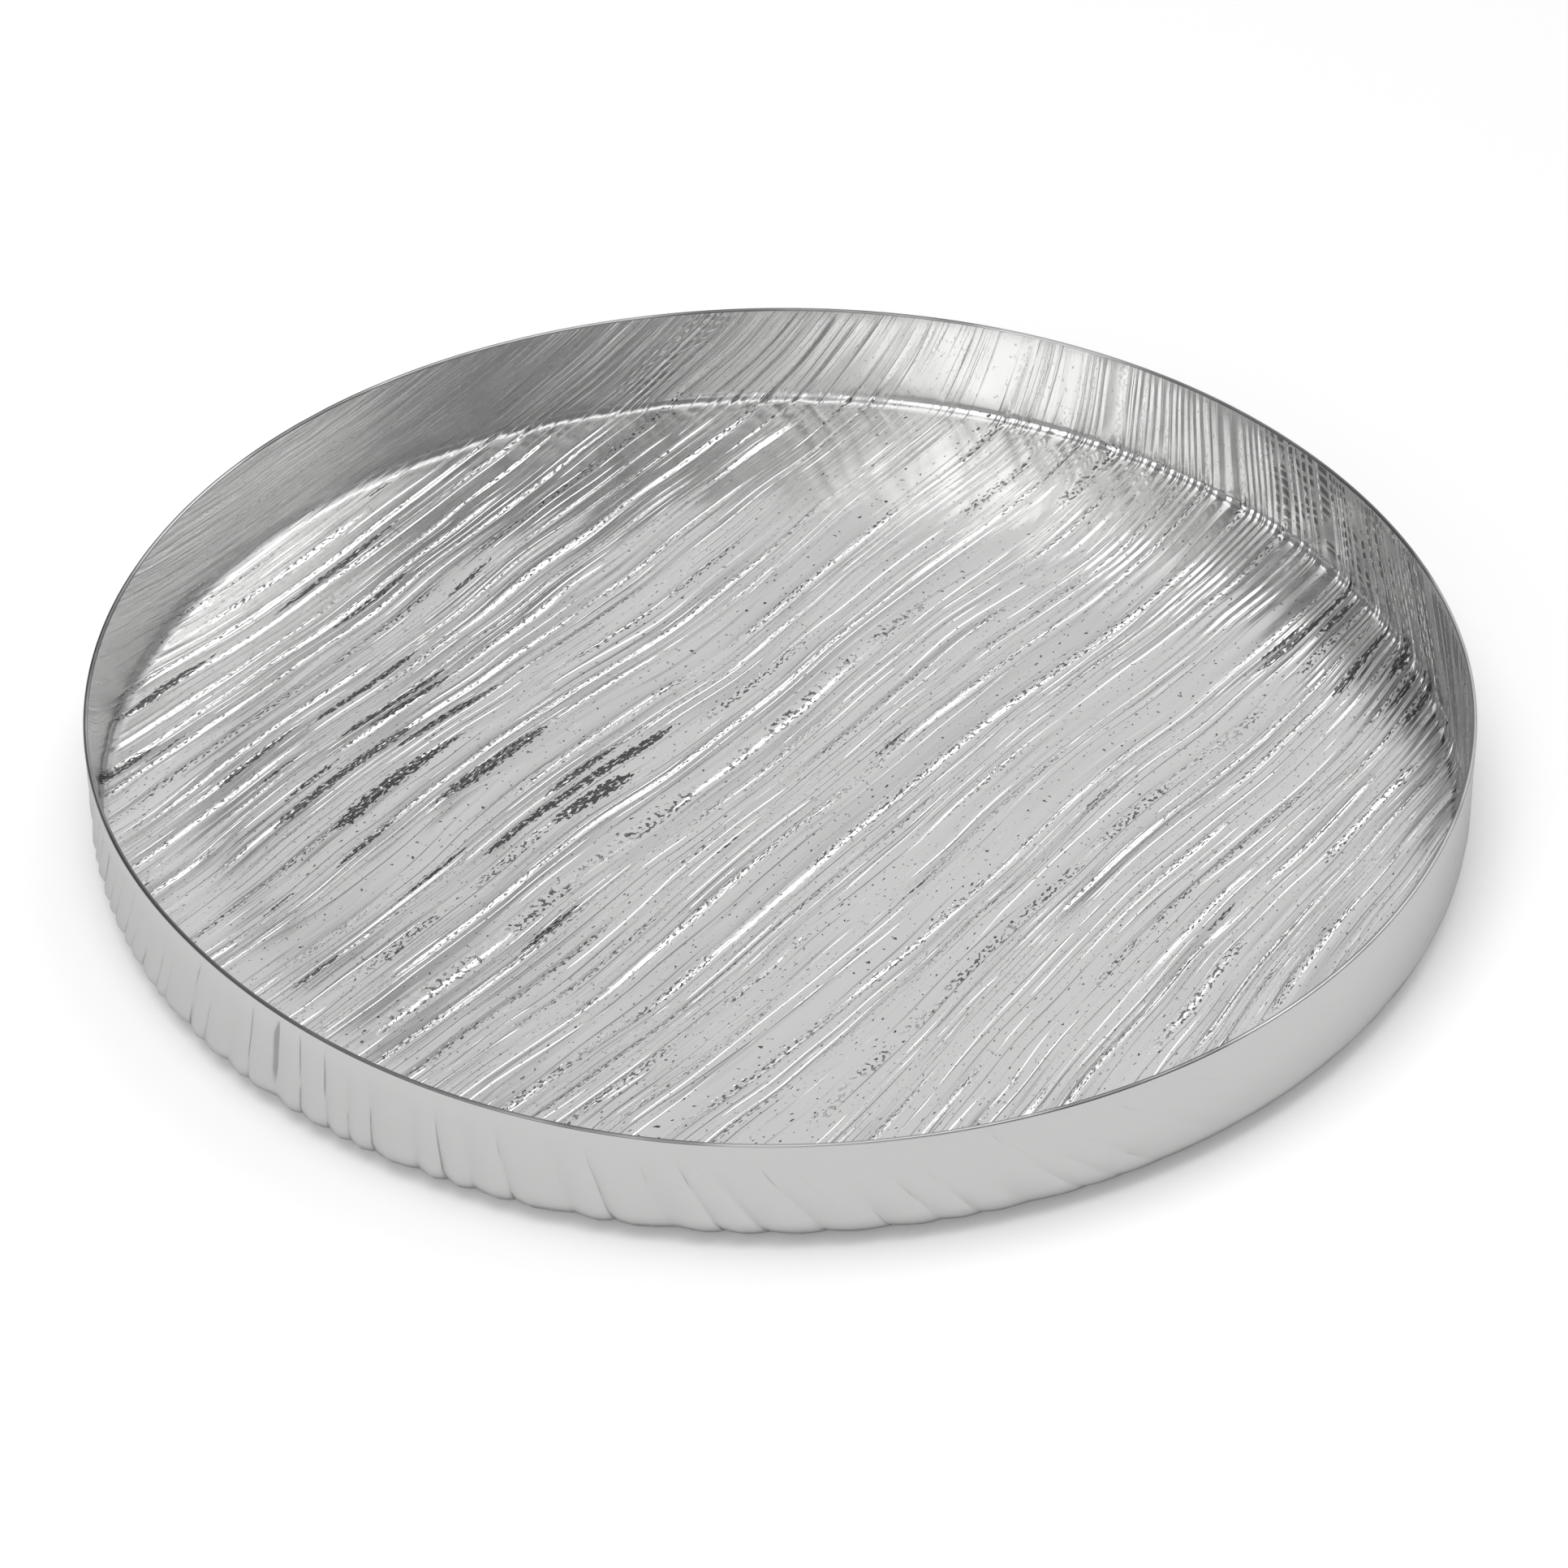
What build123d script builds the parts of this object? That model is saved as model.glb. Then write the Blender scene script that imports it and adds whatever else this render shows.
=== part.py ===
"""A round walled serving tray, raised from a single sheet of silver.

Millimetres, +Z up. The origin is the middle of the level underside that the tray rests on.

The tray is one piece of metal. A round blank keeps a level middle, climbs very slightly
towards its edge in a wide arc, then bends sharply at the wall foot and runs up as a low,
almost upright wall. The bare, smoothed edge of the sheet is the lip: no wire, foot or
handle is added to it.
"""

from build123d import *
import os
from math import cos, radians, sin, tan

# Overall sizes
rim_diameter = 350.0  # over the lip, outside
tray_height = 33.0  # level underside to the top of the lip
sheet_thickness = 1.2

# How the sheet is formed, on its outside face
floor_arc_radius = 150.0  # the wide arc in which the floor's edge climbs to the wall foot
floor_arc_angle = 10.0  # degrees of climb where that arc meets the foot bend
foot_bend_radius = 6.0  # the sharp bend between floor and wall
wall_lean = 2.0  # degrees from upright, open towards the lip

# The sheet's edge is filed round on both sides, with this much of it left level
lip_level_width = 0.3

# Worked out: the outside face runs level, then along the wide arc, then round the foot
# bend and straight up the wall, each stretch tangent to the next. The foot bend is placed
# from the rim inwards, and the level middle is what the wide arc leaves.
rim_radius = rim_diameter / 2
climb = radians(floor_arc_angle)
lean = radians(wall_lean)

floor_rise = floor_arc_radius * (1 - cos(climb))
bend_centre_height = floor_rise + foot_bend_radius * cos(climb)
wall_run_in = (tray_height - bend_centre_height) * tan(lean)
bend_centre = Vector(
    rim_radius - wall_run_in - foot_bend_radius / cos(lean),
    bend_centre_height,
)
level_radius = bend_centre.X - (floor_arc_radius - foot_bend_radius) * sin(climb)

# Directions from the bend's centre to its two ends, and up along the wall
to_floor = Vector(sin(climb), -cos(climb))
to_wall = Vector(cos(lean), -sin(lean))
wall_up = Vector(sin(lean), cos(lean))

inner_bend_radius = foot_bend_radius - sheet_thickness
outer_bend_start = bend_centre + to_floor * foot_bend_radius
outer_bend_end = bend_centre + to_wall * foot_bend_radius
inner_bend_start = bend_centre + to_floor * inner_bend_radius
inner_bend_end = bend_centre + to_wall * inner_bend_radius
lip_outside = outer_bend_end + wall_up * ((tray_height - outer_bend_end.Y) / wall_up.Y)
lip_inside = inner_bend_end + wall_up * ((tray_height - inner_bend_end.Y) / wall_up.Y)
lip_edge_round = (sheet_thickness - lip_level_width) / 2

os.makedirs("parts", exist_ok=True)

# The sheet: its section, from the middle outwards, turned once round the tray's axis
with BuildPart() as tray_body:
    with BuildSketch(Plane.XZ) as section:
        with BuildLine() as outline:
            Line((0, 0), (level_radius, 0))
            RadiusArc((level_radius, 0), outer_bend_start, -floor_arc_radius)
            RadiusArc(outer_bend_start, outer_bend_end, -foot_bend_radius)
            Line(outer_bend_end, lip_outside)
            Line(lip_outside, lip_inside)
            Line(lip_inside, inner_bend_end)
            RadiusArc(inner_bend_end, inner_bend_start, inner_bend_radius)
            RadiusArc(
                inner_bend_start,
                (level_radius, sheet_thickness),
                floor_arc_radius - sheet_thickness,
            )
            Line((level_radius, sheet_thickness), (0, sheet_thickness))
            Line((0, sheet_thickness), (0, 0))
        make_face()
    revolve(axis=Axis.Z)
    fillet(tray_body.edges().group_by(Axis.Z)[-1], lip_edge_round)

tray_body.part.label = "tray_body"
export_step(tray_body.part, "parts/tray_body.step")

box = tray_body.part.bounding_box()
print("tray_body", box.min, box.max, "volume", round(tray_body.part.volume / 1000, 2), "cm3")
print("level radius", round(level_radius, 2), "floor rise", round(floor_rise, 3))
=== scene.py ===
# %% [markdown]
# # A round silver tray with a wood-grain relief
#
# The real tray is one sheet of silver. Its maker first drove a grain into a flat round
# blank, with long sharp ridges and shallow plates between them, and then raised the
# blank's edge into a low wall. The grain was there before the wall, so it runs over the
# floor, round the foot of the wall and up it. The script follows the same order: work out
# the grain, lay out the flat blank, raise it, and finish the edge.
#
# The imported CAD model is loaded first. It gives the place and the size of the tray.

# %% Load the frame
from math import acos, cos, pi, radians, sin, tan

import bmesh
import bpy
import numpy as np
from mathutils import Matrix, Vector, noise


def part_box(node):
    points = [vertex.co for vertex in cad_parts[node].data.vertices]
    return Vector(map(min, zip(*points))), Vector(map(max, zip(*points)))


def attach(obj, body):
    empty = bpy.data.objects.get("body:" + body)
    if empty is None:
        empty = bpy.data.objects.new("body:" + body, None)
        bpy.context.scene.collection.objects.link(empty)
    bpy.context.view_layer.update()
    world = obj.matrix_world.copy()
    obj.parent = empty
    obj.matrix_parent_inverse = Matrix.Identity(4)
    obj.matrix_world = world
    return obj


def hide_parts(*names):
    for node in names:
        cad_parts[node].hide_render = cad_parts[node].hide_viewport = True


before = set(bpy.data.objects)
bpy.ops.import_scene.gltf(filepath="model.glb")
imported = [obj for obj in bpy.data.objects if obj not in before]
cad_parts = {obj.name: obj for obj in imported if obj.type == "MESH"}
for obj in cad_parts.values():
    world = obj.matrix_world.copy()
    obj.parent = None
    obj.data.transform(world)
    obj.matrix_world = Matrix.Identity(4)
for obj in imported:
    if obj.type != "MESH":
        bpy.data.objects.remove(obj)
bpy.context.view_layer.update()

tray_low, tray_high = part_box("tray_body")
rim_radius = (tray_high[0] - tray_low[0]) / 2
tray_height = tray_high[2]
print("rim radius", round(rim_radius, 4), "height", round(tray_height, 4))

# %% [markdown]
# ## Sizes
#
# Blender works in metres, so small sizes are written in millimetres and multiplied. The
# sheet's own sizes repeat those of the CAD section: a level middle, a wide arc that climbs
# a little, a bend at the wall foot, and a straight wall that leans out slightly. The bend
# was dressed sharper on the inside, so the inside has a smaller radius than the outside.

# %% Sizes of the sheet
MM = 0.001
sheet = 1.2 * MM
floor_arc = 150.0 * MM
climb = radians(10.0)
foot_bend = 6.0 * MM
foot_bend_inside = 3.4 * MM
wall_slope = radians(88.0)
lip_round = 0.45 * MM

bend_height = floor_arc * (1 - cos(climb)) + foot_bend * cos(climb)
lean_out = (tray_height - bend_height) * tan(pi / 2 - wall_slope) + foot_bend / sin(wall_slope)
bend_radius = rim_radius - lean_out
level_radius = bend_radius - (floor_arc - foot_bend) * sin(climb)
print("level floor to", round(level_radius, 4), "centre of the foot bend at", round(bend_radius, 4))

# %% [markdown]
# ## The section
#
# Raising turns a distance along the flat blank into a place on the section. The slope is
# nothing on the level middle, grows along the wide arc and the foot bend, and stays the
# same up the wall. One object holds the lengths of one face and does this for any distance,
# so the inside and the outside are made by the same code.

# %% Raise a distance along the blank
class Section:
    def __init__(self, depth, bend):
        """One face of the sheet: its depth below the outer face, and its radius at the foot."""
        self.arc = floor_arc - depth
        self.bend = bend
        wall_out, wall_up = -sin(wall_slope), cos(wall_slope)
        from_wall = (level_radius - bend_radius) * wall_out + (floor_arc - bend_height) * wall_up
        from_wall += foot_bend - depth
        self.climb = wall_slope - acos((from_wall - bend) / (self.arc - bend))
        self.arc_end = level_radius + self.arc * self.climb
        self.bend_end = self.arc_end + bend * (wall_slope - self.climb)
        self.blank_radius = self.bend_end
        wall_bottom = float(self.raised(self.bend_end)[1])
        self.blank_radius += (tray_height - lip_round - wall_bottom) / sin(wall_slope)

    def raised(self, distance):
        """Radius and height on this face, and the direction through it to the inside."""
        arc_share = np.clip((distance - level_radius) / (self.arc_end - level_radius), 0, 1)
        bend_share = np.clip((distance - self.arc_end) / (self.bend_end - self.arc_end), 0, 1)
        arc_slope = arc_share * self.climb
        slope = arc_slope + bend_share * (wall_slope - self.climb)
        radius = np.minimum(distance, level_radius) + self.arc * np.sin(arc_slope)
        height = floor_arc - self.arc * np.cos(arc_slope)
        radius = radius + self.bend * (np.sin(slope) - np.sin(arc_slope))
        height = height + self.bend * (np.cos(arc_slope) - np.cos(slope))
        up_wall = np.maximum(distance - self.bend_end, 0)
        radius = radius + up_wall * cos(wall_slope)
        height = height + up_wall * sin(wall_slope)
        return radius, height, -np.sin(slope), np.cos(slope)


outer = Section(0.0, foot_bend)
inner = Section(sheet, foot_bend_inside)
for label, face in (("outside", outer), ("inside", inner)):
    print(label, "bend from", round(face.arc_end, 4), "to", round(face.bend_end, 4),
          "blank radius", round(face.blank_radius, 4))

# %% [markdown]
# ## The grain
#
# Each ridge follows a line on which the "grain coordinate" stays the same. That coordinate
# is the distance across the grain, fanned out and bent by slow noise, so that the ridges
# wander side by side as wood grain does. Noise is read from `mathutils.noise`, which gives
# the same values on every run.

# %% Slow noise and the grain coordinate
grain_angle = radians(52.5)
FAN_START = 60 * MM
FAN_BAND = 60 * MM
FAN_ANGLE = radians(6.0)
MOST_FAN = 2.2


def drift(along, across, long_size, wide_size, seed):
    """Smooth noise between about -1 and 1, stretched along the grain."""
    flat_along = np.ravel(along / long_size)
    flat_across = np.ravel(across / wide_size)
    values = [noise.noise(Vector((a, b, seed))) for a, b in zip(flat_along, flat_across)]
    return np.array(values).reshape(np.shape(along))


def grain_coordinate(along, across):
    """How far across the grain the ridge line through a place of the blank lies."""
    fan_share = np.clip((-across - FAN_START) / FAN_BAND, 0, MOST_FAN)
    fanned = across - along * FAN_ANGLE * fan_share
    broad_waves = 5.0 * MM * drift(along, across, 85 * MM, 62 * MM, 3.7)
    small_waves = 0.8 * MM * drift(along, across, 24 * MM, 14 * MM, 11.2)
    return fanned + broad_waves + small_waves


print("ridge line through the middle lies at", round(float(grain_coordinate(0.0, 0.0)) / MM, 2), "mm")

# %% [markdown]
# The grain coordinate is then turned into a running count of ridges: a whole number on each
# ridge line, and a fraction in between. The gap between ridges is wider in the middle of
# the tray than at its sides, and a little noise makes neighbours differ.

# %% Count the ridges
FINE_STEP = 0.25 * MM
grain_places = np.arange(-300 * MM, 300 * MM, FINE_STEP)
usual_gap = np.interp(
    grain_places, np.array([-140, -70, 50, 100]) * MM, np.array([6.5, 9.0, 8.5, 6.0]) * MM
)
unevenness = 0.55 * drift(grain_places, 0 * grain_places, 11 * MM, 1.0, 4.4)
ridge_counts = np.cumsum(FINE_STEP / usual_gap) + unevenness
ridge_total = int(ridge_counts[-1]) + 2
print("ridge lines", ridge_total)

# %% [markdown]
# A ridge line is one of two things. A rib has a broad flank on one side, a sharp crest and
# a narrow steep back, and a plate slides down from it to the foot of the next rib. A lap is
# a plate that climbs slowly and ends in a small sharp drop, like the edge of a shingle. The
# broad flanks catch the light and the narrow drops stay dark. Each line has its own random
# strength and widths, and comes and goes along its length.

# %% Ribs and laps
random = np.random.default_rng(12)
ridge_is_lap = random.random(ridge_total) < 0.34
ridge_strength = random.uniform(0.40, 1.0, ridge_total)
ridge_seed = random.uniform(0, 90, ridge_total)
flank_width = random.uniform(0.10, 0.22, ridge_total)
drop_width = random.uniform(0.05, 0.09, ridge_total)
CREST = 0.62
FLANK_FOOT = 0.38
BACK_DROP = 0.20


def ridge_at(along, count, life_length, least):
    """Which ridge is nearest, how far it is in ridge gaps, and how strong it is there."""
    nearest = np.clip(np.rint(count).astype(int), 0, ridge_total - 1)
    life = drift(along, ridge_seed[nearest], life_length, 1.0, 5.5)
    strength = ridge_strength[nearest] * np.clip(least + 1.5 * life, 0, 1)
    return nearest, count - nearest, strength


def eased(share):
    return share * share * (3 - 2 * share)


def rib_shape(side, flank, drop):
    """0 midway between ridges, 0.62 on the crest and -0.38 at the foot of the broad flank."""
    before = np.clip((side + 0.5) / (0.5 - flank), 0, 1)
    rise = np.clip((side + flank) / flank, 0, 1)
    fall = np.clip(side / drop, 0, 1)
    after = np.clip((side - drop) / (0.5 - drop), 0, 1)
    front = -FLANK_FOOT * (1 - (1 - before) ** 1.5) + rise**1.15
    back = (CREST - BACK_DROP * eased(fall)) * (1 - after) ** 1.2
    return np.where(side < 0, front, back)


def lap_shape(side, drop):
    """0 midway between ridges, 0.5 above the drop and -0.5 below it."""
    climbing = np.clip(1 + 2 * side, 0, 1) ** 1.4
    fall = np.clip(side / drop, 0, 1)
    after = np.clip((side - drop) / (0.5 - drop), 0, 1)
    return np.where(side < 0, 0.5 * climbing, 0.5 - eased(fall) + 0.5 * after)

print("ribs", int(np.sum(~ridge_is_lap)), "laps", int(np.sum(ridge_is_lap)))

# %% [markdown]
# A few finer, short ribs stand between the ridges. On the right, where the grain runs
# straight into the foot of the wall, the ridges give way to a row of even teeth, three to
# a ridge gap: each falls slowly and then rises in one steep step. The slow sides are the
# dark valleys there, and the steps are the bright lines that bend up the wall.

# %% Fine ribs and teeth
FINE_PLACE = 0.33
FINE_HALF_WIDTH = 0.065
# Where a tooth's step starts and ends, in ridge gaps to the left and to the right of a ridge
LEFT_LOW, LEFT_HIGH = 0.40, 0.33
RIGHT_LOW, RIGHT_HIGH = 0.27, 0.33
SLOW_SIDE = 0.27
TEETH_START = 113 * MM
TEETH_BAND = 26 * MM


def fine_ribs(along, count):
    """0 beside the fine ribs and 1 on their crests, where they are at their tallest."""
    side = count - np.rint(count)
    away = np.abs(np.abs(side) - FINE_PLACE) / FINE_HALF_WIDTH
    own_line = np.rint(count) * 2.0 + (side > 0)
    life = drift(along, own_line * 5.3, 34 * MM, 1.0, 9.1)
    return np.clip(1 - away, 0, 1) * np.clip(2.6 * life - 0.35, 0, 1)


def teeth(side, flank):
    """0 at the bottom of each tooth and 1 at its top, with steps at the rows of the mesh."""
    left_step = (side + LEFT_LOW) / (LEFT_LOW - LEFT_HIGH)
    left_slope = (-flank - side) / (LEFT_HIGH - flank)
    height = np.where(side < -LEFT_HIGH, left_step, left_slope)
    height = np.where(side < -LEFT_LOW, (-LEFT_LOW - side) / SLOW_SIDE, height)
    height = np.where(side > -flank, (side + flank) / flank, height)
    height = np.where(side > 0, (RIGHT_LOW - side) / SLOW_SIDE, height)
    height = np.where(side > RIGHT_LOW, (side - RIGHT_LOW) / (RIGHT_HIGH - RIGHT_LOW), height)
    height = np.where(side > RIGHT_HIGH, (1 - LEFT_LOW - side) / SLOW_SIDE, height)
    return np.clip(height, 0, 1)


def toothed(along, count):
    """How far the teeth have taken over from the ridges."""
    wander = 14 * MM * drift(along, count, 40 * MM, 0.45, 6.6)
    to_the_right = eased(np.clip((along + wander - TEETH_START) / TEETH_BAND, 0, 1))
    among = eased(np.clip((count - 17) / 3, 0, 1)) * eased(np.clip((50 - count) / 9, 0, 1))
    return to_the_right * among


tooth_places = np.array([-LEFT_LOW, -LEFT_HIGH, -0.16, 0, RIGHT_LOW, RIGHT_HIGH])
print("teeth at their bottoms and tops", teeth(tooth_places, 0.16).round(2))

# %% [markdown]
# ## Relief of the two faces
#
# The inside shows everything, boldly on the floor and the back of the wall, and softly
# where the wall runs beside the grain. The outside was smoothed again after the wall was
# raised. There the ridge lines are only creases between soft bulges, boldest at the foot.
# Both faces fade to nothing just under the lip.

# %% Relief of the inside and the outside
RIB_HEIGHT = 0.70 * MM
LAP_HEIGHT = 0.24 * MM
FINE_HEIGHT = 0.22 * MM
TOOTH_HEIGHT = 0.66 * MM
SWELL = 0.10 * MM
BULGE = 1.5 * MM
WALL_CREASE = 0.26 * MM
CREASE_HALF_WIDTH = 0.06


def fade_to_lip(section, distance, band):
    """1 over the face, easing to 0 at the lip."""
    return eased(np.clip((section.blank_radius - distance) / band, 0, 1))


def wall_boldness(along, across):
    """How bold the ridges are on the wall: bold where it crosses them, soft beside them."""
    crossing = 0.22 + 0.68 * np.clip(along / inner.blank_radius * 1.6 + 0.05, 0, 1)
    at_back = 0.5 * np.clip(across / inner.blank_radius * 4 - 2.8, 0, 1)
    return np.maximum(crossing, at_back)


def inside_relief(along, across, count):
    """Height above the smooth sheet, and how strong the rib or the lap is at each place."""
    distance = np.hypot(along, across)
    nearest, side, strength = ridge_at(along, count, 38 * MM, 0.62)
    rib = RIB_HEIGHT * rib_shape(side, flank_width[nearest], drop_width[nearest])
    lap = LAP_HEIGHT * lap_shape(side, drop_width[nearest])
    is_lap = ridge_is_lap[nearest]
    ridges = strength * np.where(is_lap, lap, rib)
    on_wall = np.clip((distance - inner.bend_end) / (6 * MM), 0, 1)
    ridges = ridges * (1 - on_wall * (1 - wall_boldness(along, across)))
    ridges = ridges + FINE_HEIGHT * fine_ribs(along, count)
    tooth_height = TOOTH_HEIGHT * (0.65 + 0.35 * ridge_strength[nearest]) * (1 - 0.35 * on_wall)
    share = toothed(along, count)
    relief = ridges * (1 - share) + share * tooth_height * teeth(side, flank_width[nearest])
    relief = relief + SWELL * drift(along, count, 50 * MM, 0.9, 8.8)
    marks = {"rib": strength * (1 - is_lap), "lap": strength * is_lap}
    return relief * fade_to_lip(inner, distance, 3 * MM), marks


def outside_relief(along, across, count):
    """Height inwards from the smooth outside, and how sharp the crease is at each place."""
    distance = np.hypot(along, across)
    nearest, side, strength = ridge_at(along, count, 12 * MM, 0.62)
    crossing = np.abs(along) / np.maximum(distance, 1 * MM)
    wall_length = outer.blank_radius - outer.bend_end
    up_from_foot = np.clip((distance - outer.bend_end) / wall_length, 0, 1)
    near_foot = eased(np.clip((distance - outer.arc_end + 12 * MM) / (14 * MM), 0, 1))
    near_foot = near_foot * (1 - up_from_foot) ** 1.5
    nick = (0.70 + 0.30 * strength) * np.clip(1 - 2 * np.abs(side), 0, 1) ** 1.8
    bulge = -BULGE * near_foot * crossing**2 * (1 - nick)
    short_life = drift(distance, ridge_seed[nearest] * 3.1, 7 * MM, 1.0, 2.2)
    broken = np.clip(0.60 + 2.4 * short_life + 0.4 * (1 - up_from_foot), 0, 1)
    crease = strength * crossing * broken * (distance > outer.arc_end)
    crease = crease * np.clip(1 - np.abs(side) / CREASE_HALF_WIDTH, 0, 1)
    fade = fade_to_lip(outer, distance, 5 * MM)
    return (bulge + WALL_CREASE * crease) * fade, {"crease": crease * fade}


print("a full rib's crest stands", round(CREST * RIB_HEIGHT / MM, 2), "mm above the sheet")

# %% [markdown]
# ## Rows that follow the ridges
#
# Ridges have sharp crests and drops, and a mesh shows a sharp edge only where its own edges
# run along it. So the rows of the blank follow the ridges: every row keeps one ridge count,
# and rows stand on each crest and at the top and bottom of each flank. Along a row the
# shape changes slowly, so its points are far apart, except where it crosses the foot bend.

# %% Choose the rows
def rows_inside():
    """Ridge counts with a row each: the ends of all flanks, drops, fine ribs and teeth."""
    counts = []
    for ridge in range(ridge_total):
        flank, drop = flank_width[ridge], drop_width[ridge]
        left = (-0.5, -LEFT_LOW, -LEFT_HIGH, -0.26, -flank, -0.5 * flank)
        right = (0, drop, 0.2, RIGHT_LOW, RIGHT_HIGH, 0.40)
        counts.extend(ridge + offset for offset in left + right)
    return np.sort(np.array(counts))


def rows_outside():
    """Ridge counts with a row each: the ends of the creases, and two rows between."""
    crease = CREASE_HALF_WIDTH
    offsets = np.array([-0.5, -0.22, -crease, 0, crease, 0.22])
    return np.sort(np.add.outer(np.arange(ridge_total), offsets).ravel())


print("rows to choose from: inside", len(rows_inside()), "outside", len(rows_outside()))

# %% [markdown]
# The line of each row is found from a table of the grain coordinate over the blank: down
# each column of the table the coordinate only grows, so the place where it has the row's
# value can be read off. The row is cut where it leaves the round blank.

# %% Lay out the rows of the blank
TABLE_SIZE = 181


def spread(density, low, high, count):
    """Places between low and high, close together where the density is high."""
    fine = np.linspace(low, high, 3001)
    share = np.concatenate([[0], np.cumsum(density((fine[1:] + fine[:-1]) / 2))])
    return np.interp(np.linspace(0, share[-1], count), share, fine)


def row_points(section, columns, line, point_count):
    """Places along one row inside the blank, or nothing if the row misses it."""
    reach = np.hypot(columns, line) - section.blank_radius
    within = np.flatnonzero(reach < 0)
    if len(within) < 2:
        return None
    first, last = within[0], within[-1]
    low = np.interp(0, [reach[first], reach[first - 1]], [columns[first], columns[first - 1]])
    high = np.interp(0, [reach[last], reach[last + 1]], [columns[last], columns[last + 1]])

    def density(place):
        across = np.interp(place, columns, line)
        distance = np.hypot(place, across)
        from_bend = np.abs(distance - (section.arc_end + section.bend_end) / 2)
        in_bend = np.clip(1.6 - from_bend / (section.bend_end - section.arc_end), 0, 1)
        return 1 + 0.5 * (distance > section.bend_end) + 9.0 * in_bend * np.abs(place) / distance

    along = spread(density, low, high, point_count)
    across = np.interp(along, columns, line)
    for end in (0, -1):
        grow = section.blank_radius / np.hypot(along[end], across[end])
        along[end], across[end] = along[end] * grow, across[end] * grow
    return along, across


def edge_points(section, along, across):
    """The row along the edge of the blank that closes the blank beyond its last row."""
    start, end = np.arctan2(across[0], along[0]), np.arctan2(across[-1], along[-1])
    turn = (end - start + pi) % (2 * pi) - pi
    angle = start + turn * np.linspace(0, 1, len(along))
    return section.blank_radius * np.cos(angle), section.blank_radius * np.sin(angle)


def lay_out(section, counts, point_count):
    """Place along and across the grain, and ridge count, of every point of every row."""
    columns = np.linspace(-1.02, 1.02, TABLE_SIZE) * section.blank_radius
    table = grain_coordinate(*np.meshgrid(columns, columns, indexing="ij"))
    wanted = np.interp(counts, ridge_counts, grain_places)
    lines = np.array([np.interp(wanted, column, columns) for column in table]).T
    rows = []
    for count, line in zip(counts, lines):
        points = row_points(section, columns, line, point_count)
        if points is not None:
            rows.append((count, points))
    first_edge = (rows[0][0], edge_points(section, *rows[0][1]))
    last_edge = (rows[-1][0], edge_points(section, *rows[-1][1]))
    rows = [first_edge] + rows + [last_edge]
    along = np.array([points[0] for _, points in rows])
    across = np.array([points[1] for _, points in rows])
    count = np.array([count for count, _ in rows])[:, None] + np.zeros_like(along)
    return along, across, count


# %% [markdown]
# ## The hand of the maker
#
# The wall was raised by hand, so its lip dips by about a millimetre in front and leans in
# a little at two places. Each dent is a smooth bell round the tray, and grows with height.

# %% Dents of the wall
# Each: azimuth and half-width in degrees, then how far the lip sinks and moves in
DENTS = ((259, 26, 1.3 * MM, 0.0), (330, 20, 0.2 * MM, 1.1 * MM), (217, 14, 0.1 * MM, 0.7 * MM),
         (95, 30, 0.5 * MM, 0.3 * MM), (170, 22, 0.3 * MM, -0.4 * MM), (30, 18, 0.0, 0.4 * MM))


def dented(radius, angle, height):
    share = np.clip(height / tray_height, 0, 1) ** 1.5
    for azimuth, half_width, sink, inward in DENTS:
        away = (angle - radians(azimuth) + pi) % (2 * pi) - pi
        bell = share * np.exp(-((away / radians(half_width)) ** 2))
        radius = radius - inward * bell
        height = height - sink * bell
    return radius, height

print("dents", len(DENTS), "and the deepest dip is", max(dent[2] for dent in DENTS) / MM, "mm")

# %% [markdown]
# ## A face of the sheet
#
# Blender's grid primitive is the flat blank. Its points are moved onto the rows, and each
# row is then raised with the section and given its relief. A UV map called `grain` keeps
# each point's place along the grain and its ridge count, for the finish to follow later,
# and one called `OFBake` lays the blank out flat for baked textures.

# %% Name the three finishes
# Their nodes come later; the faces of the mesh only need the names now.
finish_inside = bpy.data.materials.new("silver, grained")
finish_outside = bpy.data.materials.new("silver, smoothed")
finish_lip = bpy.data.materials.new("silver, filed edge")
print("finishes", finish_inside.name, "/", finish_outside.name, "/", finish_lip.name)


# %% Raise the points, and lay the maps
def raised_places(section, along, across, relief):
    """Where each point of the blank comes to stand, with its relief and the wall's dents."""
    angle = np.arctan2(across, along) + grain_angle
    radius, height, through_out, through_up = section.raised(np.hypot(along, across))
    radius = radius + relief * through_out
    height = height + relief * through_up
    radius, height = dented(radius, angle, height)
    return np.stack([radius * np.cos(angle), radius * np.sin(angle), height], axis=-1)


def lay_map(mesh, uv_map, u, v):
    """Gives each corner of the mesh the u and v of its point."""
    corner_points = np.empty(len(mesh.loops), dtype=np.int32)
    mesh.loops.foreach_get("vertex_index", corner_points)
    point_uv = np.stack([u.ravel(), v.ravel()], axis=-1)
    uv_map.data.foreach_set("uv", point_uv[corner_points].ravel())


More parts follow.
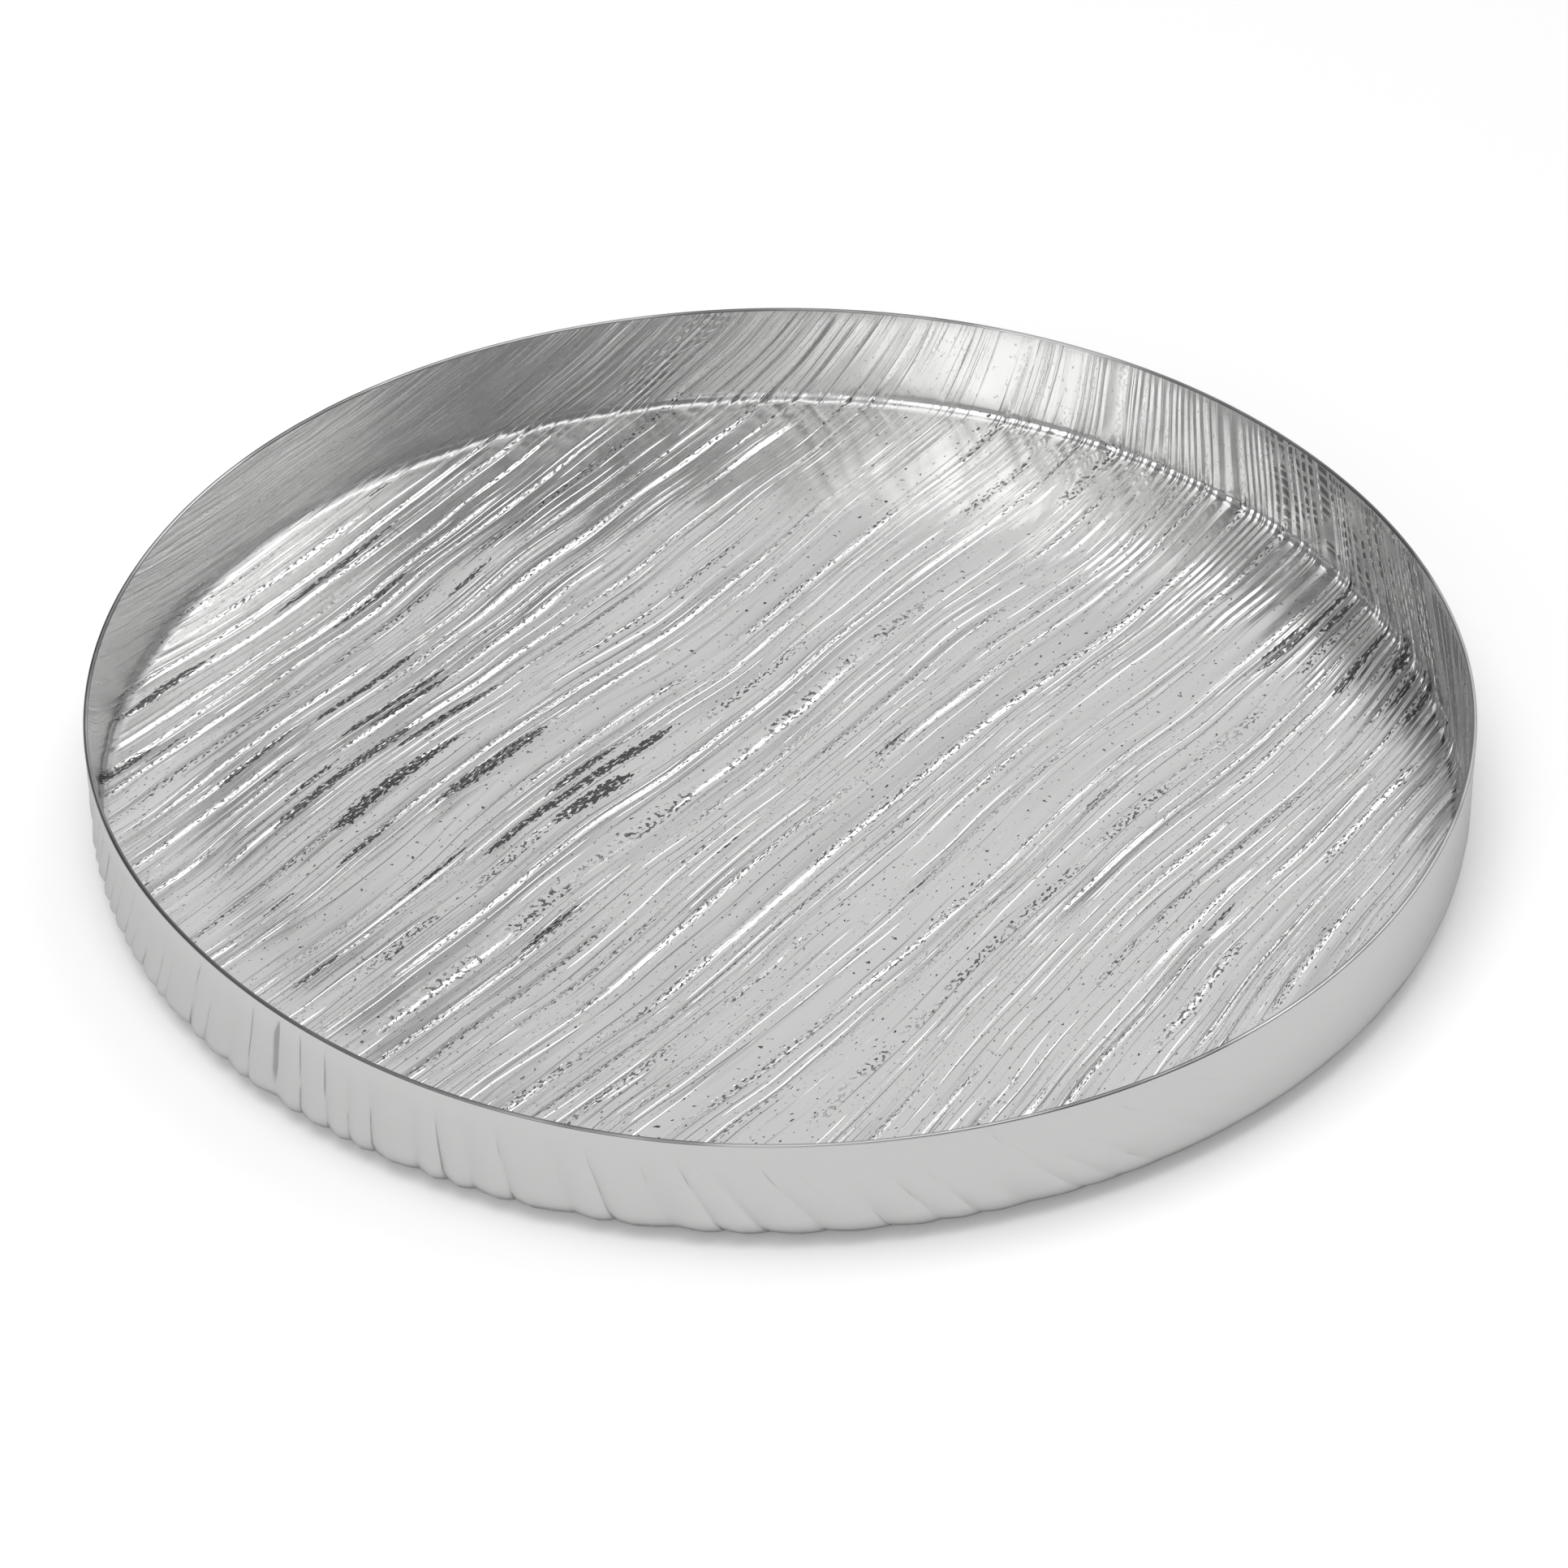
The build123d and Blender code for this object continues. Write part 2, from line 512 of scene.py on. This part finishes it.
# %% Make one face
def make_face(name, section, counts, point_count, relief_of, finish, bake_middle, bake_size):
    along, across, count = lay_out(section, counts, point_count)
    relief, marks = relief_of(along, across, count)
    marks["up_wall"] = np.hypot(along, across) - section.bend_end

    bpy.ops.object.select_all(action="DESELECT")
    bpy.ops.mesh.primitive_grid_add(
        x_subdivisions=along.shape[1] - 1, y_subdivisions=along.shape[0] - 1, size=0.4
    )
    face = bpy.context.object
    face.name = name
    mesh = face.data
    mesh.materials.append(finish)
    mesh.materials.append(finish_lip)
    mesh.vertices.foreach_set("co", raised_places(section, along, across, relief).ravel())

    mesh.uv_layers[0].name = "grain"
    lay_map(mesh, mesh.uv_layers["grain"], along, count)
    scale = bake_size / section.blank_radius
    bake_u = along * scale + bake_middle[0]
    bake_v = across * scale + bake_middle[1]
    lay_map(mesh, mesh.uv_layers.new(name="OFBake"), bake_u, bake_v)
    for label, values in marks.items():
        mark = mesh.attributes.new(label, "FLOAT", "POINT")
        mark.data.foreach_set("value", values.ravel().astype(np.float32))
    return face


inside_face = make_face("inside", inner, rows_inside(), 90, inside_relief, finish_inside,
                        bake_middle=(0.27, 0.73), bake_size=0.25)
outside_face = make_face("outside", outer, rows_outside(), 76, outside_relief, finish_outside,
                         bake_middle=(0.78, 0.22), bake_size=0.20)
print("faces made", len(inside_face.data.polygons), len(outside_face.data.polygons))

# %% [markdown]
# ## The lip
#
# The sheet's bare edge was filed round. Each face's open edge is extruded three times
# around a small quarter circle. The two faces are then joined, and the last narrow strip
# between them is bridged, which closes the sheet into one solid skin.

# %% Round the edge and close the sheet
ROUND_STEPS = 3


def only(piece):
    """Makes one object the only one selected, and active."""
    bpy.ops.object.select_all(action="DESELECT")
    piece.select_set(True)
    bpy.context.view_layer.objects.active = piece


def round_edge(face, edge_radius, towards):
    """Extrudes the open edge round a quarter circle, in towards the middle of the sheet."""
    only(face)
    bpy.ops.object.mode_set(mode="EDIT")
    bpy.ops.mesh.select_mode(type="EDGE")
    bpy.ops.mesh.select_all(action="SELECT")
    bpy.ops.mesh.remove_doubles(threshold=0.001 * MM)
    bpy.ops.mesh.select_all(action="DESELECT")
    bpy.ops.mesh.select_non_manifold()
    bpy.ops.object.mode_set(mode="OBJECT")
    faces_before = len(face.data.polygons)
    bpy.ops.object.mode_set(mode="EDIT")
    radius_now, height_now = edge_radius, 0.0
    for step in range(1, ROUND_STEPS + 1):
        turned = pi / 2 * step / ROUND_STEPS
        radius_next = edge_radius + towards * lip_round * (1 - cos(turned))
        height_next = lip_round * sin(turned)
        grow = radius_next / radius_now
        bpy.ops.mesh.extrude_edges_move()
        bpy.ops.transform.resize(value=(grow, grow, 1), center_override=(0, 0, 0))
        bpy.ops.transform.translate(value=(0, 0, height_next - height_now))
        radius_now, height_now = radius_next, height_next
    bpy.ops.object.mode_set(mode="OBJECT")
    for polygon in face.data.polygons[faces_before:]:
        polygon.material_index = 1


for face, section, towards in ((outside_face, outer, -1), (inside_face, inner, 1)):
    round_edge(face, float(section.raised(section.blank_radius)[0]), towards)

only(outside_face)
inside_face.select_set(True)
bpy.context.view_layer.objects.active = inside_face
bpy.ops.object.join()
tray = bpy.context.object
tray.name = "silver_tray"

# %% [markdown]
# The two open edges have different points, and the bridge tool pairs points by their order.
# So this strip is made like a zip: going round by angle, each triangle takes the next point
# from whichever edge is behind.

# %% Zip the two edges together
def open_loops(sheet_mesh):
    """The mesh's open edges as loops of points, each going round by rising angle."""
    left = {edge for edge in sheet_mesh.edges if len(edge.link_faces) == 1}
    loops = []
    while left:
        edge = left.pop()
        loop = [edge.verts[0], edge.verts[1]]
        while loop[-1] is not loop[0]:
            edge = next(edge for edge in loop[-1].link_edges if edge in left)
            left.discard(edge)
            loop.append(edge.other_vert(loop[-1]))
        loop = loop[:-1]
        angles = np.array([np.arctan2(point.co.y, point.co.x) for point in loop])
        if np.sum(np.sign((np.diff(angles) + pi) % (2 * pi) - pi)) < 0:
            loop, angles = loop[::-1], angles[::-1]
        first = int(np.argmin(angles))
        loop, angles = loop[first:] + loop[:first], np.roll(angles, -first)
        loops.append((loop + loop[:1], np.append(angles, angles[0] + 2 * pi)))
    return loops


def zip_edges(sheet_mesh, lip_index):
    (one, one_angles), (other, other_angles) = open_loops(sheet_mesh)
    i = j = 0
    while i < len(one) - 1 or j < len(other) - 1:
        one_next = one_angles[i + 1] if i < len(one) - 1 else np.inf
        other_next = other_angles[j + 1] if j < len(other) - 1 else np.inf
        if one_next < other_next:
            points = (one[i], one[i + 1], other[j])
            i += 1
        else:
            points = (one[i], other[j + 1], other[j])
            j += 1
        sheet_mesh.faces.new(points).material_index = lip_index


sheet_mesh = bmesh.new()
sheet_mesh.from_mesh(tray.data)
zip_edges(sheet_mesh, tray.data.materials.find(finish_lip.name))
sheet_mesh.to_mesh(tray.data)
sheet_mesh.free()
bpy.ops.object.mode_set(mode="EDIT")
bpy.ops.mesh.select_all(action="SELECT")
bpy.ops.mesh.normals_make_consistent(inside=False)
bpy.ops.object.mode_set(mode="OBJECT")
bpy.ops.object.shade_smooth()
face_edges = np.empty(len(tray.data.loops), dtype=np.int32)
tray.data.loops.foreach_get("edge_index", face_edges)
open_edges = int(np.sum(np.bincount(face_edges, minlength=len(tray.data.edges)) != 2))
tray.data.calc_loop_triangles()
print("triangles", len(tray.data.loop_triangles), "edges that don't join two faces:", open_edges)
print("finishes", [finish.name for finish in tray.data.materials])

# %% [markdown]
# ## Silver
#
# The sheet is one metal with three finishes. The inside keeps what the punches left, the
# outside was hammered smooth and polished, and the edge was only filed. They are all the
# same bare metal, so what tells them apart is how rough they are and the marks in them.
# Marks finer than the mesh are a height for a Bump node. A pit too narrow to let light back
# out looks dark, so its metal is made dark.
#
# Each finish is a sum of soft masks. These helpers let it be written like arithmetic:
# `window` is a soft threshold, `between` a soft band, and `stretched_noise` runs with the
# grain.

# %% Node helpers
def add(tree, kind, settings=None, **inputs):
    """Adds a node, sets its options, and sets or links the named inputs."""
    node = tree.nodes.new(kind)
    for option, value in (settings or {}).items():
        setattr(node, option, value)
    for label, value in inputs.items():
        by_number = label[0] == "_"
        socket = node.inputs[int(label[1:]) if by_number else label.replace("_", " ")]
        if isinstance(value, bpy.types.NodeSocket):
            tree.links.new(value, socket)
        else:
            socket.default_value = value
    return node


def math(tree, operation, *values):
    inputs = {f"_{index}": value for index, value in enumerate(values)}
    return add(tree, "ShaderNodeMath", {"operation": operation}, **inputs).outputs[0]


def window(tree, value, low, high):
    """0 below low, 1 above high, and a smooth step between."""
    settings = {"interpolation_type": "SMOOTHSTEP"}
    inputs = {"Value": value, "From_Min": low, "From_Max": high}
    return add(tree, "ShaderNodeMapRange", settings, **inputs).outputs[0]


def between(tree, value, low, high, soft):
    """1 between low and high, easing to 0 over the soft band outside each."""
    rising = window(tree, value, low - soft, low)
    falling = math(tree, "SUBTRACT", 1.0, window(tree, value, high, high + soft))
    return math(tree, "MULTIPLY", rising, falling)


def stretched_noise(tree, place, per_metre, per_ridge, detail=2.0):
    """Noise that is long along the grain: cells per metre along it, and per ridge across it."""
    scale = (per_metre, per_ridge, 1.0)
    cells = add(tree, "ShaderNodeVectorMath", {"operation": "MULTIPLY"}, _0=place, _1=scale)
    texture = add(tree, "ShaderNodeTexNoise", {"noise_dimensions": "2D"}, Vector=cells.outputs[0],
                  Scale=1.0, Detail=detail, Roughness=0.5)
    return texture.outputs["Fac"]


def times(tree, first, *rest):
    for value in rest:
        first = math(tree, "MULTIPLY", first, value)
    return first


def plus(tree, first, *rest):
    for value in rest:
        first = math(tree, "ADD", first, value)
    return first

def inverse(tree, value):
    """1 where the value is 0, and 0 where it is 1."""
    return math(tree, "SUBTRACT", 1.0, value)


def blend(tree, share, first, second):
    """The first colour where the share is 0, and the second where it is 1."""
    mix = add(tree, "ShaderNodeMix", {"data_type": "RGBA"}, Factor=share, _6=first, _7=second)
    return mix.outputs[2]


def grey(level):
    return (level, level, level, 1)


# %% [markdown]
# ### Fine lines
#
# Between the ridges the punches left fine steps that run with the grain. A sawtooth along
# the ridge count gives them: a slow climb and a sudden drop. They are much finer than the
# mesh, so they are a height for a Bump node. Both faces have them, so they are a group.

# %% Group: fine grain
def fine_grain_group():
    group = bpy.data.node_groups.new("fine grain", "ShaderNodeTree")
    group.interface.new_socket("Place", in_out="INPUT", socket_type="NodeSocketVector")
    group.interface.new_socket("Steps per ridge", in_out="INPUT", socket_type="NodeSocketFloat")
    group.interface.new_socket("Height", in_out="OUTPUT", socket_type="NodeSocketFloat")
    start = group.nodes.new("NodeGroupInput")
    end = group.nodes.new("NodeGroupOutput")
    place = start.outputs["Place"]
    parts = add(group, "ShaderNodeSeparateXYZ", _0=place)
    wander = math(group, "MULTIPLY", stretched_noise(group, place, 9.0, 0.9, 1.0), 1.6)
    counted = times(group, parts.outputs["Y"], start.outputs["Steps per ridge"])
    steps = plus(group, counted, wander)
    saw = math(group, "FRACT", steps)
    fall = inverse(group, window(group, saw, 0.0, 0.14))
    climb_and_fall = math(group, "MAXIMUM", saw, fall)
    line = math(group, "FLOOR", steps)
    own_row = times(group, line, 3.7)
    own_place = add(group, "ShaderNodeCombineXYZ", _0=parts.outputs["X"], _1=own_row).outputs[0]
    life = window(group, stretched_noise(group, own_place, 16.0, 1.0, 1.0), 0.42, 0.66)
    group.links.new(times(group, climb_and_fall, life), end.inputs["Height"])
    return group

fine_grain = fine_grain_group()
print("nodes in the group", fine_grain.name, len(fine_grain.nodes))

# %% [markdown]
# ### What the marks of the inside depend on
#
# Every mark follows the grain, so all of them read the same few values: the place along the
# grain, the ridge count, how far the point is to the side of its ridge line, how strong the
# rib or the lap is there, and how far up the wall it lies. They are read once and kept
# together. Marks are fewer on the wall, which was rubbed smoother when it was raised.

# %% Values of the grain
def start_nodes(material):
    material.use_nodes = True
    tree = material.node_tree
    return tree, tree.nodes["Principled BSDF"]


def attribute(tree, name):
    return add(tree, "ShaderNodeAttribute", {"attribute_name": name}).outputs["Fac"]


class Grain:
    def __init__(self, tree):
        """Reads the inside's maps and attributes as outputs of nodes in the tree."""
        self.place = add(tree, "ShaderNodeUVMap", {"uv_map": "grain"}).outputs[0]
        parts = add(tree, "ShaderNodeSeparateXYZ", _0=self.place)
        self.along, self.count = parts.outputs["X"], parts.outputs["Y"]
        self.side = math(tree, "SUBTRACT", self.count, math(tree, "ROUND", self.count))
        self.rib = attribute(tree, "rib")
        self.strong = window(tree, plus(tree, self.rib, attribute(tree, "lap")), 0.1, 0.45)
        self.up_wall = attribute(tree, "up_wall")
        self.on_wall = window(tree, self.up_wall, -2 * MM, 3 * MM)
        self.calm = inverse(tree, times(tree, self.on_wall, 0.8))


# %% [markdown]
# ### Beads and ragged flanks
#
# The punch was rocked along each ridge, and left a broken row of small bead-like marks on
# the crest and a ragged skin on the broad flank beside it. Fine noise, a little longer than
# it is wide, gives the beads. A slower noise along the same ridge says where they stop.

# %% Marks on the crests and the flanks
def crest_marks(tree, grain):
    near_crest = between(tree, grain.side, -0.10, 0.03, 0.04)
    bead_life = window(tree, stretched_noise(tree, grain.place, 30.0, 1.3), 0.38, 0.50)
    beads = window(tree, stretched_noise(tree, grain.place, 620.0, 19.0, 1.0), 0.56, 0.62)
    return times(tree, near_crest, bead_life, beads, grain.strong, grain.calm)


def ragged_skin(tree, grain):
    on_flank = between(tree, grain.side, -0.20, 0.04, 0.06)
    rough = stretched_noise(tree, grain.place, 420.0, 16.0, 2.0)
    life = window(tree, stretched_noise(tree, grain.place, 14.0, 0.8, 1.0), 0.35, 0.60)
    on_rib = window(tree, grain.rib, 0.15, 0.5)
    return times(tree, rough, on_flank, life, on_rib, grain.calm)


# %% [markdown]
# ### Gouges
#
# Gouges are slender tapered marks full of pits, whose colour is painted dark as painted shade. They
# lie on lines of their own beside the ridges, most of them at the left and a few at the far right.
# Along each line a slow
# noise is compared with a level: the further it rises above it, the wider the gouge is, so
# a gouge comes to a point at both ends. Inside it the threshold of the pits is lower.

# %% Gouges
GOUGE_LINES = 1.6
GOUGE_LEVEL = 0.80
GOUGE_HALF_WIDTH = 0.30


def gouge_places(tree, grain):
    """How near the gouge level is to being lowered, at the left and at the far right."""
    on_left = times(tree, between(tree, grain.along, -0.10, -0.01, 0.06),
                    between(tree, grain.count, 45.0, 63.0, 5.0))
    on_right = times(tree, window(tree, grain.along, 0.105, 0.13),
                     between(tree, grain.count, 20.0, 32.0, 5.0))
    return math(tree, "MAXIMUM", on_left, times(tree, on_right, 1.35))


def gouge_marks(tree, grain):
    wander = times(tree, stretched_noise(tree, grain.place, 8.0, 0.5, 0.0), 1.5)
    lines = plus(tree, times(tree, grain.count, GOUGE_LINES), wander)
    nearest = math(tree, "ROUND", lines)
    from_line = math(tree, "ABSOLUTE", math(tree, "SUBTRACT", lines, nearest))
    own_row = times(tree, nearest, 5.7)
    own_place = add(tree, "ShaderNodeCombineXYZ", _0=grain.along, _1=own_row).outputs[0]
    life = stretched_noise(tree, own_place, 19.0, 1.0, 0.0)
    level = math(tree, "SUBTRACT", GOUGE_LEVEL, times(tree, gouge_places(tree, grain), 0.17))
    above = window(tree, math(tree, "SUBTRACT", life, level), 0.0, 0.16)
    half_width = times(tree, above, GOUGE_HALF_WIDTH)
    within = window(tree, math(tree, "SUBTRACT", half_width, from_line), -0.16, 0.14)
    begun = window(tree, half_width, 0.0, 0.05)
    pits = stretched_noise(tree, grain.place, 520.0, 15.0, 3.0)
    pitted = plus(tree, pits, times(tree, within, begun, 0.30))
    return times(tree, window(tree, pitted, 0.70, 0.75), grain.calm)


# %% [markdown]
# ### Cross punch
#
# In two patches of the wall a square-ended punch was struck across the ridges. Its pits
# stand in rungs up the wall and in posts three to a ridge gap. Noise shakes the rungs and
# leaves pits out, so that the patches don't look like a printed net.

# %% Cross punch
# Ridge counts between which the cross punch was used, on the right and at the back
RIGHT_PATCH = (27.5, 36.5)
BACK_PATCH = (60.2, 61.2)
RUNG_GAP = 2.8 * MM
POSTS_PER_RIDGE = 3.0


def bars(tree, steps, low, high):
    """One soft bar in every whole step."""
    return between(tree, math(tree, "FRACT", steps), low, high, 0.14)


def hatch_marks(tree, grain):
    shake = times(tree, stretched_noise(tree, grain.place, 70.0, 0.9, 1.0), 5 * MM)
    rungs = bars(tree, times(tree, plus(tree, grain.up_wall, shake), 1 / RUNG_GAP), 0.26, 0.74)
    posts = bars(tree, times(tree, grain.count, POSTS_PER_RIDGE), 0.28, 0.72)
    rightward = window(tree, grain.along, 0.10, 0.12)
    right_patch = times(tree, between(tree, grain.count, *RIGHT_PATCH, 2.0), rightward)
    back_patch = times(tree, between(tree, grain.count, *BACK_PATCH, 0.9), rightward, 0.5)
    above_foot = window(tree, grain.up_wall, 0.0, 3 * MM)
    life = window(tree, stretched_noise(tree, grain.place, 120.0, 1.5, 2.0), 0.38, 0.52)
    return times(tree, rungs, posts, above_foot, plus(tree, right_patch, back_patch), life)


# %% [markdown]
# ### Steps and streaks
#
# Fine steps cover the whole inside. Some fall one way and catch the dark side of the room,
# and some fall the other way and catch the bright side. They are nearly worn away on the
# front of the wall. The back of the wall has long streaks as well.

# %% Steps and streaks
def fine_steps(tree, place, per_ridge):
    """Steps that fall to one side, or to the other where the number per ridge is negative."""
    return add(tree, "ShaderNodeGroup", {"node_tree": fine_grain}, _0=place, _1=per_ridge).outputs[0]


def fine_height(tree, grain):
    dark_steps = times(tree, fine_steps(tree, grain.place, 3.3), 0.095)
    bright_steps = times(tree, fine_steps(tree, grain.place, -2.6), 0.13)
    hair = times(tree, stretched_noise(tree, grain.place, 45.0, 12.0, 2.0), 0.03)
    in_front = inverse(tree, window(tree, grain.count, 28.0, 40.0))
    worn = times(tree, grain.on_wall, in_front, 0.75)
    steps = times(tree, plus(tree, dark_steps, bright_steps, hair), inverse(tree, worn))
    at_back = window(tree, grain.count, 54.0, 62.0)
    streaks = times(tree, stretched_noise(tree, grain.place, 28.0, 5.0, 3.0), grain.on_wall, at_back)
    return plus(tree, steps, times(tree, streaks, 0.40))


# %% [markdown]
# ### The three finishes
#
# The inside adds its marks up: each has a depth in millimetres, and the pits among them are
# painted dark as painted shade, and rougher. The outside has a little of the fine grain left,
# soft hammer dimples, and painted shade, a darker colour, in the bottom of its creases. The
# filed edge is duller and unevenly worn.

# %% Fill the three finishes
SILVER = (0.93, 0.93, 0.925, 1)


def bend_normal(tree, shader, height):
    """Bends the shader's normal by a height given in millimetres."""
    bump = add(tree, "ShaderNodeBump", Strength=1.0, Distance=1.0 * MM, Height=height)
    tree.links.new(bump.outputs[0], shader.inputs["Normal"])


def fill_inside(material):
    tree, shader = start_nodes(material)
    grain = Grain(tree)
    crests, gouges, hatch = (marks(tree, grain) for marks in (crest_marks, gouge_marks, hatch_marks))
    height = plus(tree, times(tree, crests, -0.14), times(tree, ragged_skin(tree, grain), 0.07),
                  times(tree, gouges, -0.30), times(tree, hatch, -0.30), fine_height(tree, grain))
    bend_normal(tree, shader, height)
    # Painted shade: the pits of the gouges, the cross punch and the crest beads take a near-black
    # colour for the shade inside them, not for a darker metal.
    dark = math(tree, "MAXIMUM", times(tree, gouges, 0.88), times(tree, hatch, 0.7))
    dark = math(tree, "MAXIMUM", times(tree, crests, 0.80), dark)
    tree.links.new(blend(tree, dark, SILVER, grey(0.05)), shader.inputs["Base Color"])
    above_foot = window(tree, grain.up_wall, -2 * MM, 2 * MM)
    roughness = plus(tree, times(tree, dark, 0.15), times(tree, above_foot, 0.11), 0.15)
    tree.links.new(roughness, shader.inputs["Roughness"])
    shader.inputs["Metallic"].default_value = 1.0


def fill_outside(material):
    tree, shader = start_nodes(material)
    place = add(tree, "ShaderNodeUVMap", {"uv_map": "grain"}).outputs[0]
    on_sheet = add(tree, "ShaderNodeTexCoord").outputs["Object"]
    dimples = add(tree, "ShaderNodeTexNoise", Vector=on_sheet, Scale=60.0, Detail=1.0).outputs["Fac"]
    fine = fine_steps(tree, place, 1.7)
    bend_normal(tree, shader, plus(tree, times(tree, fine, 0.015), times(tree, dimples, 0.12)))
    # Painted shade: the bottom of each crease on the outside is given a darker colour for the shade
    # that falls into it.
    crease_shade = times(tree, window(tree, attribute(tree, "crease"), 0.12, 0.5), 0.5)
    tree.links.new(blend(tree, crease_shade, SILVER, grey(0.2)), shader.inputs["Base Color"])
    shader.inputs["Metallic"].default_value = 1.0
    shader.inputs["Roughness"].default_value = 0.24


def fill_lip(material):
    tree, shader = start_nodes(material)
    on_sheet = add(tree, "ShaderNodeTexCoord").outputs["Object"]
    wear = add(tree, "ShaderNodeTexNoise", Vector=on_sheet, Scale=18.0, Detail=3.0).outputs["Fac"]
    worn = window(tree, wear, 0.42, 0.62)
    tree.links.new(blend(tree, worn, grey(0.30), grey(0.80)), shader.inputs["Base Color"])
    shader.inputs["Metallic"].default_value = 1.0
    shader.inputs["Roughness"].default_value = 0.3


fill_inside(finish_inside)
fill_outside(finish_outside)
fill_lip(finish_lip)
for finish in (finish_inside, finish_outside, finish_lip):
    print(finish.name, "has", len(finish.node_tree.nodes), "nodes")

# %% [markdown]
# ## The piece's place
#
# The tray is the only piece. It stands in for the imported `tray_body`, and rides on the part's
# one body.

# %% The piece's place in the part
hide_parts("tray_body")
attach(tray, "root")
print(tray.name, "stands in for tray_body")

# %% [markdown]
# ## Studio
#
# Polished metal shows the room more than itself, so the studio is half of the look. The tray
# stands on a wide sheet of pale paper. Seen directly the paper is nearly white and glows a
# little, which keeps the ground even and the shadow pale. Seen in the metal it is the light
# grey that it would be without that glow. It lies a tenth of a millimetre below the tray, so
# that the two level faces don't coincide.

# %% Floor
bpy.ops.object.select_all(action="DESELECT")
bpy.ops.mesh.primitive_plane_add(size=8.0, location=(0, 0, -0.1 * MM))
floor = bpy.context.object
floor.name = "studio_floor"
paper = bpy.data.materials.new("studio paper")
tree, paper_shader = start_nodes(paper)
seen = add(tree, "ShaderNodeLightPath").outputs["Is Camera Ray"]
tree.links.new(blend(tree, seen, grey(0.66), grey(0.97)), paper_shader.inputs["Base Color"])
tree.links.new(times(tree, seen, 0.16), paper_shader.inputs["Emission Strength"])
paper_shader.inputs["Emission Color"].default_value = grey(1)
paper_shader.inputs["Roughness"].default_value = 0.9
floor.data.materials.append(paper)
print("paper", tuple(round(size, 2) for size in floor.dimensions[:2]), "m")

# %% [markdown]
# ### Soft light
#
# One large lamp above and to the front left gives the paper its soft shadow. It is hidden
# from reflections, because the floor and the wall mirror it one after the other and burn
# out the metal at the back. What the silver mirrors is the sky instead.

# %% Soft light above
bpy.ops.object.light_add(type="AREA", location=(-0.35, -0.25, 1.9))
softbox = bpy.context.object
softbox.data.shape = "SQUARE"
softbox.data.size = 1.4
softbox.data.energy = 15
softbox.visible_glossy = False
softbox.rotation_euler = (Vector((0, 0, 0)) - softbox.location).to_track_quat("-Z", "Y").to_euler()
print("lamp", softbox.data.size, "m wide,", round(softbox.location.length, 2), "m off")

# %% [markdown]
# ### Light from all round
#
# The sky grows brighter upwards, like a room with a pale ceiling. Round panels with soft
# edges are laid over it one after the other, as grey, dark and bright cards are stood round
# silver in a studio. The level floor mirrors the sky behind the tray, and the ridges mirror
# what is to its right and left, so the cards there draw the bright and dark lines. They are
# placed for this camera, and from other sides the tray mirrors a less even room.

# %% Light from all round
# Each stop: how far up the sky it lies, from 0 at the horizon, and how bright it is there
SKY_STOPS = ((0.30, 0.24), (0.48, 0.50), (0.62, 0.67), (0.80, 0.72), (0.92, 1.0))
# Each panel: azimuth and height in degrees, inner and outer half-width, and brightness
PANELS = (
    ("dim, front high", 270, 54, 14, 24, 0.42),
    ("dim, left high", 188, 47, 14, 24, 0.25),
    ("grey, front", 270, 22, 14, 26, 0.58),
    ("dark, front right", 312, 38, 20, 34, 0.17),
    ("dark, back left", 140, 30, 20, 34, 0.16),
    ("grey, back high", 96, 58, 9, 19, 0.45),
    ("dark, back", 112, 37, 9, 13.6, 0.02),
    ("bright, front left", 230, 32, 14, 24, 1.3),
    ("bright, right", 47, 54, 8, 13, 2.4),
    ("grey, low on the right", 64, 9, 14, 26, 0.50),
)

world = bpy.data.worlds.new("studio")
bpy.context.scene.world = world
world.use_nodes = True
tree = world.node_tree
direction = add(tree, "ShaderNodeTexCoord").outputs["Generated"]
upward = add(tree, "ShaderNodeSeparateXYZ", _0=direction).outputs["Z"]
ramp = add(tree, "ShaderNodeValToRGB", Fac=upward)
stops = ramp.color_ramp.elements
stops[0].position, stops[0].color = 0.0, grey(0.20)
stops[1].position, stops[1].color = 1.0, grey(1.0)
for position, level in SKY_STOPS:
    stops.new(position).color = grey(level)
light = ramp.outputs[0]
for label, azimuth, height, near, far, level in PANELS:
    a, e = radians(azimuth), radians(height)
    towards = (cos(e) * cos(a), cos(e) * sin(a), sin(e))
    facing = add(tree, "ShaderNodeVectorMath", {"operation": "DOT_PRODUCT"}, _0=direction, _1=towards)
    share = window(tree, facing.outputs["Value"], cos(radians(far)), cos(radians(near)))
    light = blend(tree, share, light, grey(level))
    light.node.label = label
tree.links.new(light, tree.nodes["Background"].inputs["Color"])
print("panels", len(PANELS), "on a sky of", len(stops), "stops")

# %% [markdown]
# ### Camera
#
# A long lens stands some ten rim radii off and looks down at 37 degrees, so the tray is
# drawn with little perspective. It aims in front of the rim's middle, which leaves an even
# margin round the tray and its shadow.

# %% Camera
CAMERA_HEIGHT_ANGLE = radians(36.8)
CAMERA_RIM_RADII = 10.35

camera_data = bpy.data.cameras.new("camera")
camera = bpy.data.objects.new("camera", camera_data)
bpy.context.collection.objects.link(camera)
rim_centre = Vector((0, 0, tray_height))
backward = Vector((0, -cos(CAMERA_HEIGHT_ANGLE), sin(CAMERA_HEIGHT_ANGLE)))
camera.location = rim_centre + CAMERA_RIM_RADII * rim_radius * backward
aim = rim_centre + Vector((0.0007, -0.038, 0))
camera.rotation_euler = (aim - camera.location).to_track_quat("-Z", "Y").to_euler()
camera_data.sensor_width = 36
camera_data.lens = 165.2
camera_data.clip_start, camera_data.clip_end = 0.05, 50
bpy.context.scene.camera = camera
bpy.context.scene.view_settings.view_transform = "Standard"
print("camera", round((aim - camera.location).length, 3), "m from its aim")
